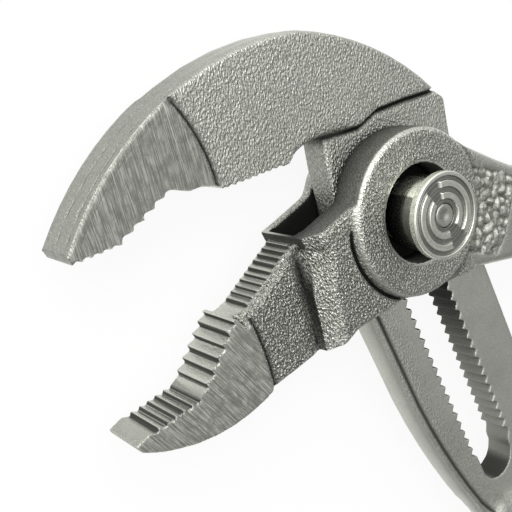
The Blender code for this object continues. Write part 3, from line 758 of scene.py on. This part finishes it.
def sharp_edge(co, line, radius, half_thick, share):
    """Draw a rounded edge along a plan line out towards a sharp corner, by a share."""
    side, _, left = line_frame(co[:, :2], line)
    up = from_middle(co)
    u = np.clip(radius - side, 0, radius)
    v = np.clip(up - half_thick + radius, 0, radius)
    far = np.maximum(np.hypot(u, v), TINY)
    corner = radius / np.maximum((u / far) ** 6 + (v / far) ** 6, TINY) ** (1 / 6)
    near = (side < radius) & (up > half_thick - radius) & (side > -0.4)
    grow = np.where(near & (far > 0.8 * radius), np.clip(corner / far - 1, 0, 0.4), 0.0) * share
    out = co.copy()
    out[:, :2] -= left * (u * grow)[:, None]
    sink(out, -v * grow)
    return out


# Arms: the two forgings

def shape_box_arm():
    """Lower jaw, joint cheeks and upper handle, softened by region, with bumps, groove and boss crease."""
    mesh = voxel_copy("box_arm", ARM_VOXEL)
    co, edges = places(mesh), pairs(mesh)
    plan = co[:, :2]
    teeth = near_rows(plan, LOWER_ROWS, reach=2.2)
    pad = on_pad(plan, LOWER_PAD_EDGE, LOWER_PAD_END, soft=0.1)
    bore = from_axis(co) < 8.6
    crisp = np.maximum(np.maximum(teeth, pad * 0.8), bore * 0.75)
    throat = 1 - ramp(np.abs(line_distance(plan, THROAT_EDGE)[0]), 2.0, 4.0)
    co = relax(co, edges, PASSES, PULL * (1 - SPARED * crisp))
    co = relax(co, edges, PASSES * 2, PULL * throat * (1 - teeth))
    bumped = on_bumps(co)
    spots = bumped > 0
    rise = np.zeros(len(co))
    rise[spots] = lumps(plan[spots], pitch=1.7, seed=5) + 0.3 * lumps(plan[spots], pitch=0.8, seed=6)
    co[:, 2] += bumped * (BUMP_HEIGHT * rise - np.clip(co[:, 2] - PANEL_FLOOR, 0, 1))
    sink(co, pad_groove(co, LOWER_PAD_EDGE, LOWER_PAD_END))
    ring, low_left = boss_foot(co)
    co[:, 2] -= BOSS_CREASE * ring * low_left * ramp(co[:, 2], 14.0, 15.5)
    put(mesh, co)
    return mesh


def paint_box_arm(mesh, edge):
    """Numbers for the box arm's material."""
    co, face = places(mesh), normals(mesh)
    plan, height, up = co[:, :2], co[:, 2], from_middle(co)
    radius = from_axis(co)
    flat = np.abs(face[:, 2]) > FLAT
    pad = on_pad(plan, LOWER_PAD_EDGE, LOWER_PAD_END, soft=0.08) * flat
    by_teeth = near_rows(plan, LOWER_ROWS, reach=1.6)
    teeth = by_teeth * (np.abs(face[:, 2]) < STEEP)
    boss = 1 - ramp(radius, 12.6, 13.2)
    rim = bell(radius - BOSS_RIM, 0.5) * (height > CHEEK_FACE)
    bumped = on_bumps(co)
    hollow = in_cavity(co)
    upright = boss_wall(co, face) * (height > 11.4) * (1 - ramp(face[:, 2], 0.3, 0.65))

    # Edges that would look too worn are held down
    edge = np.where(bumped > 0.1, np.clip(edge, -0.09, 0.1), edge)
    # Painted shade in the roots between the teeth
    tooth_roots = 0.9 * teeth * ramp(-edge, 0.01, 0.07)
    edge = capped(edge, by_teeth > 0.5, most=0.08)
    edge = capped(edge, rim > 0.2, most=0.06)

    # Painted shade: how dark each recess, crease and wall turned from the light is made, with a darker tone
    # on the bumps
    ring, low_left = boss_foot(co)
    foot = 0.9 * ring * low_left * (height > 13.5) * (height < 17.3)
    wall = upright * (0.74 + 0.2 * ramp(15.5 - height, 0.0, 3.5))
    pad_line = pad_border(plan, LOWER_PAD_EDGE, LOWER_PAD_END) * flat
    front_hole = (radius < FRONT_BORE) * ramp(FRONT_LIP - height, 0.15, 1.2)
    rear_hole = (radius < REAR_BORE) * ramp(height - REAR_FACE, 0.15, 1.5)
    valley = 0.96 * bell(line_distance(plan, VALLEY_LINE)[0], 0.95) * (up < 5.0)
    valley *= ramp(-plan[:, 1], 3.0, 7.0)
    flanks = 0.92 * shaded_flanks(plan, face, LOWER_ROWS)
    root_ring = 0.45 * bell(radius - 13.6, 0.7) * (plan[:, 0] > 6) * (height < 17.5)
    tip_face = 0.3 * ramp(-plan[:, 0], 42.5, 44.0) * ~flat
    shadows = [hollow, front_hole, rear_hole, valley, foot, wall, pad_line, flanks, tooth_roots]
    shadows += [0.28 * bumped, 0.97 * low_wall(co, face), root_ring, tip_face]

    # How far the parts that aren't blasted lose the grain
    root = 0.85 * ramp(plan[:, 0], 9.0, 14.0)
    tip = 0.7 * ramp(-plan[:, 0], 40.5, 43.0)
    right_boss = 0.3 * boss * ramp(plan[:, 0], -9, 6)
    calm = np.max([root, 0.9 * hollow, 0.8 * bumped, 0.45 * upright, 0.7 * rim, tip, right_boss], axis=0)
    grain = (1 - pad) * (1 - 0.8 * teeth) * (1 - 0.15 * boss) * (1 - calm) * (radius > 8.0)
    paint(mesh, ground=pad, grain=grain, edge=edge, dark=np.max(shadows, axis=0))


def make_box_arm(material):
    """Lower jaw, joint cheeks and upper handle."""
    mesh, edge = thinned_with_edge(shape_box_arm(), RELIEF_PASSES, ARM_TRIANGLES)
    paint_box_arm(mesh, edge)
    finish_piece("box_arm_forged", mesh, "box_body", "box_arm", material)


def shape_slotted_arm():
    """Hooked upper jaw, toothed shank and lower handle, with a beaded edge, grooves and parting lines."""
    mesh = voxel_copy("slotted_arm", ARM_VOXEL)
    co, edges = places(mesh), pairs(mesh)
    fades = ((8.0, 13.0), SHANK_FADE)
    co = round_edge(co, SHANK_EDGE, front=1.3, rear=0.4, half_thick=SHANK_HALF, ends=fades)
    plan = co[:, :2]
    along, across = plan @ SLOT_DIR, plan @ SLOT_SIDE
    teeth = near_rows(plan, UPPER_ROWS, reach=2.0)
    pad = on_pad(plan, UPPER_PAD_EDGE, UPPER_PAD_END, soft=0.1)
    crisp = np.maximum(np.maximum(teeth, pad * 0.75), by_slot(along, across) * 0.4)
    neck = 1 - ramp(np.abs(line_distance(plan, SHANK_NECK)[0]), 2.5, 5.0)
    heel = ramp(along, 58.5, 61) * (1 - ramp(along, 84, 90))
    co = relax(co, edges, PASSES, PULL * (1 - SPARED * crisp))
    co = relax(co, edges, PASSES * 3, PULL * neck * (1 - crisp))
    co = relax(co, edges, PASSES * 12, PULL * heel)
    co = sharp_edge(co, SPINE, SPINE_ROUND, JAW_HALF, 1 - ramp(co[:, 0], -42.0, -38.0))
    spine_gap, spine_run = line_distance(co[:, :2], SPINE)
    seam = (np.abs(spine_gap) < 1.0) * spine_lines(co) * uneven(spine_run, least=0.25)
    sink(co, SHANK_GROOVE * edge_groove(co))
    sink(co, pad_groove(co, UPPER_PAD_EDGE, UPPER_PAD_END) + STEP_GROOVE * step_foot(co))
    put(mesh, co)
    put(mesh, co - normals(mesh) * (seam * SEAM_GROOVE)[:, None])
    return mesh


def paint_slotted_arm(mesh, edge):
    """Numbers for the slotted arm's material."""
    co, face = places(mesh), normals(mesh)
    plan, height, up = co[:, :2], co[:, 2], from_middle(co)
    along, across = plan @ SLOT_DIR, plan @ SLOT_SIDE
    flat = np.abs(face[:, 2]) > FLAT
    upright = 1 - ramp(np.abs(face[:, 2]), 0.3, 0.7)
    pad = on_pad(plan, UPPER_PAD_EDGE, UPPER_PAD_END, soft=0.08) * flat
    teeth = near_rows(plan, UPPER_ROWS, reach=1.6) * (np.abs(face[:, 2]) < STEEP)
    edge_side, _ = line_distance(plan, SHANK_EDGE)
    spine_gap, spine_run = line_distance(plan, SPINE)
    back = ramp(np.abs(spine_gap), 1.6, 1.0) * (np.abs(face[:, 2]) < 0.9)
    thin_part = (up < 3.0) * ramp(along, -6.0, -3.0)
    plain = thin_part * np.where(flat, ramp(np.abs(edge_side), 4.4, 5.4), 1.0)

    # Edges that would look too worn are held down
    edge = capped(edge, back > 0.5, most=0.04)
    edge = capped(edge, (plan[:, 0] < -38) & (np.abs(spine_gap) < 1.4), most=0.07)
    edge = capped(edge, (along > 48) & (along < 90), most=0.0)

    # Painted shade: how dark each recess, crease and wall turned from the light is made; the parting lines
    # are darker too
    slot_wall = by_slot(along, across) * ~flat
    slot_wall = slot_wall * np.maximum(0.985 - 0.43 * ramp(along, 14, 44), 0.93 * ramp(along, 54.8, 58.0))
    step_side, _ = line_distance(plan, UPPER_STEP)
    step_wide = 0.9 - 0.25 * ramp(plan[:, 0], -16, -8)
    step = np.maximum(0.9 * bell(step_side + 0.35, step_wide) * (up < 3.3), 0.93 * step_foot(co))
    pad_line = pad_border(plan, UPPER_PAD_EDGE, UPPER_PAD_END) * flat
    seam = 0.75 * (np.abs(spine_gap) < 0.6) * spine_lines(co) * uneven(spine_run, least=0.0)
    seam = seam * (0.45 + 0.55 * ramp(plan[:, 0], -42, -36))
    flanks = 0.7 * shaded_flanks(plan, face, UPPER_ROWS)
    # The back of the upper jaw is made darker, most towards the tip
    darker_back = back * (0.45 - 0.3 * ramp(plan[:, 0], -42, -22))
    side_wall = (np.abs(edge_side) < 1.0) * upright * ramp(along, -6.0, 0.0)
    side_wall = side_wall * (0.15 + 0.3 * ramp(height, MID - 1.0, MID + 2.2))
    groove = 0.95 * edge_groove(co)
    neck = (np.abs(line_distance(plan, SHANK_NECK)[0]) < 1.2) * upright
    neck = neck * (0.27 + 0.6 * ramp(plan[:, 1], 9.3, 11.3))
    handle_root = 0.5 * np.exp(-np.sum((plan - SHANK_RELIEF) ** 2, 1) / 5.0) * (height > 11.65)
    shadows = [slot_wall, step, pad_line, seam, flanks, darker_back, side_wall, groove, neck, handle_root]

    grain = (1 - pad) * (1 - 0.7 * teeth) * (1 - 0.92 * plain) * (1 - 0.5 * back)
    grain = grain * np.where(along > -6, 0.3, 0.6)
    paint(mesh, ground=pad, grain=grain, edge=edge, dark=np.max(shadows, axis=0))


def make_slotted_arm(material):
    """Hooked upper jaw, toothed shank and lower handle."""
    mesh, edge = thinned_with_edge(shape_slotted_arm(), RELIEF_PASSES, ARM_TRIANGLES)
    paint_slotted_arm(mesh, edge)
    finish_piece("slotted_arm_forged", mesh, "slotted_body", "slotted_arm", material)


# Turned pieces

def lathe(profile, segments):
    """Closed ring of a (radius, height) profile spun round the bolt axis, with its edges broken."""
    verts, faces = [], []
    for radius, height in profile:
        for k in range(segments):
            a = math.tau * k / segments
            verts.append((radius * math.cos(a), radius * math.sin(a), height))
    for p in range(len(profile)):
        one, two = p * segments, (p + 1) % len(profile) * segments
        for k in range(segments):
            n = (k + 1) % segments
            faces.append((one + k, one + n, two + n, two + k))
    mesh = bpy.data.meshes.new("turned")
    mesh.from_pydata(verts, [], faces)
    outward(mesh)
    smooth_faces(mesh)
    obj = link("turned", mesh)
    tool = obj.modifiers.new("soft", "BEVEL")
    tool.limit_method = "ANGLE"
    tool.angle_limit = math.radians(25)
    tool.width = 0.07
    tool.segments = 3
    weigh_normals(obj)
    return evaluated(obj)


def make_button(material):
    """Flanged cap with a bright rim, two raised rings and a short skirt."""
    face, floor, ceiling = BUTTON_FACE, BUTTON_FACE - 0.35, BUTTON_FACE - 1.5
    hole, flange_low = 1.83, BUTTON_FACE - 1.3
    rim, skirt, skirt_low = 6.5, 5.7, flange_low - 5.3
    profile = [(hole, ceiling), (4.3, ceiling), (4.9, skirt_low), (skirt, skirt_low)]
    profile += [(skirt, flange_low - 2.3), (4.78, flange_low - 0.3), (5.95, flange_low)]
    profile += [(rim, flange_low + 0.12), (rim, face - 0.2), (6.38, face), (5.9, face), (5.78, floor)]
    ring_top, slope = face - 0.03, 0.14
    for inner, outer in ((4.15, 5.3), (2.4, 3.55)):
        profile += [(outer, floor), (outer - slope, ring_top), (inner + slope, ring_top), (inner, floor)]
    profile += [(hole, floor)]
    mesh = lathe(profile, segments=144)
    co = places(mesh)
    radius = from_axis(co)
    turn = np.degrees(np.arctan2(co[:, 1], co[:, 0]))
    gaps = ((124, 16), (-50, 19))    # middles and half widths of the gaps in the rings, in degrees
    broken = np.any([np.abs(turn - middle) < half for middle, half in gaps], axis=0)
    ringed = (radius < 5.35) & (radius > hole + 0.3) & (co[:, 2] > floor)
    co[:, 2] = np.where(ringed & broken, floor, co[:, 2])
    put(mesh, co)
    floor_shade, skirt_shade = -0.072, -0.2
    shade = np.where((radius < 5.85) & (co[:, 2] < face - 0.16), floor_shade, 0.0)
    unlit = 1 - ramp(turn, 98, 108) * (1 - ramp(turn, 146, 156))
    paint(mesh, edge=np.where(co[:, 2] < flange_low, skirt_shade * unlit, shade))
    finish_piece("push_button_turned", mesh, "bolt_body", "push_button", material)


def make_bolt(material):
    """Stepped bolt with its toothed catch; riveted end dished, rear end centre-drilled and ringed."""
    mesh = voxel_copy("pivot_bolt", BOLT_VOXEL)
    co = relax(places(mesh), pairs(mesh), passes=3, weight=0.4)
    radius = from_axis(co)
    front_end, rear_end = co[:, 2] > 21, co[:, 2] < 4.2
    dish, drill, ring = 0.22, 0.8, 0.12
    co[:, 2] -= front_end * dish * bell(radius, 0.7)
    co[:, 2] += rear_end * (drill * np.clip(1 - radius / 1.1, 0, 1) + ring * bell(radius - 3.6, 0.3))
    put(mesh, co)
    thin, edge = thinned_with_edge(mesh, passes=6, triangles=BOLT_TRIANGLES)
    paint(thin, edge=edge)
    finish_piece("pivot_bolt_turned", thin, "bolt_body", "pivot_bolt", material)


def make_seat(material):
    """Washer under the spring, with its edges broken."""
    low, high = SEAT_TOP - SEAT_THICK, SEAT_TOP
    inner, outer = 2.9, 4.6
    mesh = lathe([(inner, low), (outer, low), (outer, high), (inner, high)], segments=96)
    paint(mesh, edge=relief(mesh, passes=2))
    finish_piece("spring_seat_washer", mesh, "bolt_carrier", "spring_seat", material)


def make_spring(material):
    """Round-wire coil with fine steps and rounded ends."""
    low, high, turns, steps, sides = 14.6, 20.4, 3.5, 36, 14
    coil_radius, wire, end_share = 3.75, 0.4, 0.55
    count = int(turns * steps) + 1
    verts, faces = [], []
    for k in range(count):
        a = math.tau * turns * k / (count - 1)
        height = low + (high - low) * k / (count - 1)
        centre = Vector((coil_radius * math.cos(a), coil_radius * math.sin(a), height))
        out = Vector((math.cos(a), math.sin(a), 0))
        thick = wire * (end_share if k in (0, count - 1) else 1.0)
        for j in range(sides):
            b = math.tau * j / sides
            verts.append(tuple(centre + out * thick * math.cos(b) + Vector((0, 0, thick * math.sin(b)))))
    for k in range(count - 1):
        for j in range(sides):
            n = (j + 1) % sides
            faces.append((k * sides + j, k * sides + n, (k + 1) * sides + n, (k + 1) * sides + j))
    faces.append(tuple(range(sides)))
    faces.append(tuple(range((count - 1) * sides, count * sides)))
    mesh = bpy.data.meshes.new("coil")
    mesh.from_pydata(verts, [], faces)
    outward(mesh)
    coil = finish_piece("return_spring_coil", mesh, "bolt_carrier", "return_spring",
                        material)
    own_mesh(coil)


# Grips

def make_grip(name, node, line, body, material):
    """Dipped sleeve with ribs along both sides, inset panels on its faces, a collar and a parting line."""
    rib_pitch, collar_at = 4.4, 5.0
    rib_depth, panel_depth, seam_depth, collar_depth = 0.55, 0.4, 0.18, 0.35
    tang_side, tang_face = 6.9, 6.4
    mesh = voxel_copy(node, GRIP_VOXEL)
    co = relax(places(mesh), pairs(mesh), GRIP_PASSES, weight=0.5)
    put(mesh, co)
    out = normals(mesh)
    side, run = line_distance(co[:, :2], smooth_line(line, steps=12))
    length = run.max()
    skin = (np.abs(side) > tang_side) | (from_middle(co) > tang_face)
    middle_part = ramp(run, 20, 24) * (1 - ramp(run, length - 16, length - 12))
    sideways = ramp(np.hypot(out[:, 0], out[:, 1]), 0.6, 0.9)
    ribs = 0.5 - 0.5 * np.cos(run / rib_pitch * math.tau)
    carve = rib_depth * (1 - ribs) ** 3 * sideways * middle_part
    panel = ramp(np.abs(out[:, 2]), 0.85, 0.97) * middle_part * (1 - ramp(np.abs(side), 4.6, 5.4))
    carve += panel_depth * panel
    carve += seam_depth * bell(co[:, 2] - MID, 0.4) * sideways
    carve += collar_depth * bell(run - collar_at, 0.6)
    put(mesh, co - out * (carve * skin)[:, None])
    thin, edge = thinned_with_edge(mesh, GRIP_RELIEF_PASSES, GRIP_TRIANGLES)
    paint(thin, edge=edge)
    finish_piece(name, thin, body, node, material)


# Studio

def make_floor():
    """Pale floor that stays near white to the camera and in reflections and keeps the shadow."""
    size = 3.0
    corners = [(-size, -size, 0), (size, -size, 0), (size, size, 0), (-size, size, 0)]
    mesh = bpy.data.meshes.new("floor")
    mesh.from_pydata(corners, [], [(0, 1, 2, 3)])
    floor = link("floor", mesh)
    n = Nodes("pale_floor")
    n.tree.nodes.remove(n.shader)
    path = n.add("LightPath").outputs
    seen = n.math("MAXIMUM", path["Is Camera Ray"], path["Is Glossy Ray"])
    seen = n.math("MAXIMUM", seen, path["Is Transmission Ray"])
    diffuse = n.add("BsdfDiffuse", Color=(0.86, 0.86, 0.85, 1))
    glow = n.add("Emission")
    both = n.add("MixShader", i0=n.times(seen, 0.9), i1=diffuse.outputs[0], i2=glow.outputs[0])
    n.join(both.outputs[0], n.tree.nodes["Material Output"].inputs["Surface"])
    mesh.materials.append(n.material)


def area_light(name, place, target, size, power):
    """Square soft box at a place, facing a target."""
    data = bpy.data.lights.new(name, "AREA")
    data.size = size
    data.energy = power
    lamp = link(name, data)
    lamp.location = place
    lamp.rotation_euler = (Vector(target) - Vector(place)).to_track_quat("-Z", "Y").to_euler()


def make_world():
    """Studio surround, bright overhead and to the upper left and dim to the lower right."""
    world = bpy.data.worlds.new("studio")
    world.use_nodes = True
    tree = world.node_tree
    towards = tree.nodes.new("ShaderNodeVectorMath")
    towards.operation = "DOT_PRODUCT"
    bright_side = (-0.45, 0.65, 0.61)
    towards.inputs[1].default_value = bright_side
    level = tree.nodes.new("ShaderNodeMapRange")
    level.interpolation_type = "SMOOTHSTEP"
    for name, value in (("From Min", -0.2), ("From Max", 0.9), ("To Min", 0.25), ("To Max", 1.35)):
        level.inputs[name].default_value = value
    join = tree.links.new
    join(tree.nodes.new("ShaderNodeTexCoord").outputs["Generated"], towards.inputs[0])
    join(towards.outputs["Value"], level.inputs["Value"])
    join(level.outputs[0], tree.nodes["Background"].inputs["Strength"])
    tree.nodes["Background"].inputs["Color"].default_value = (1, 1, 1, 1)
    bpy.context.scene.world = world


def make_camera():
    """Camera solved from the photograph's perspective of the head."""
    data = bpy.data.cameras.new("camera")
    data.sensor_fit = "AUTO"
    data.sensor_width = 36.0
    data.lens = 61.07
    data.clip_start = 0.01
    camera = link("camera", data)
    place = np.array((-94.96, 13.96, 108.48)) * MM + ORIGIN
    right, up, back = (0.81513, 0.0, 0.57928), (0.09085, 0.98763, -0.12784), (-0.57211, 0.15683, 0.80504)
    turn = Matrix((right, up, back)).transposed().to_4x4()
    camera.matrix_world = Matrix.Translation(Vector(place)) @ turn
    bpy.context.scene.camera = camera


bpy.context.scene.view_settings.view_transform = "Standard"
make_camera()
make_floor()
make_world()
HEAD = Vector((-0.085, 0.06, 0.01))
area_light("key", (-0.55, 0.45, 0.34), HEAD, size=0.7, power=4.0)

make_box_arm(forged_steel("forged_box", (0.706, -0.708), tone=1.16, pad_tone=1.1, depth=0.48))
make_slotted_arm(forged_steel("forged_slotted", (0.29, -0.957), tone=1.22, pad_tone=0.8, depth=0.36))
make_button(turned_steel("turned_button", grey(0.7), grey(0.97), rough=0.26, line_scale=5200.0))
TURNED = turned_steel("turned_bolt", grey(0.4), grey(0.62), rough=0.3, line_scale=4200.0)
make_bolt(TURNED)
make_seat(TURNED)
make_spring(spring_steel("spring_wire"))
GRIP = grip_plastic("dipped_plastic")
make_grip("upper_grip_sleeve", "upper_grip", UPPER_LINE, "box_body", GRIP)
make_grip("lower_grip_sleeve", "lower_grip", LOWER_LINE, "slotted_body", GRIP)
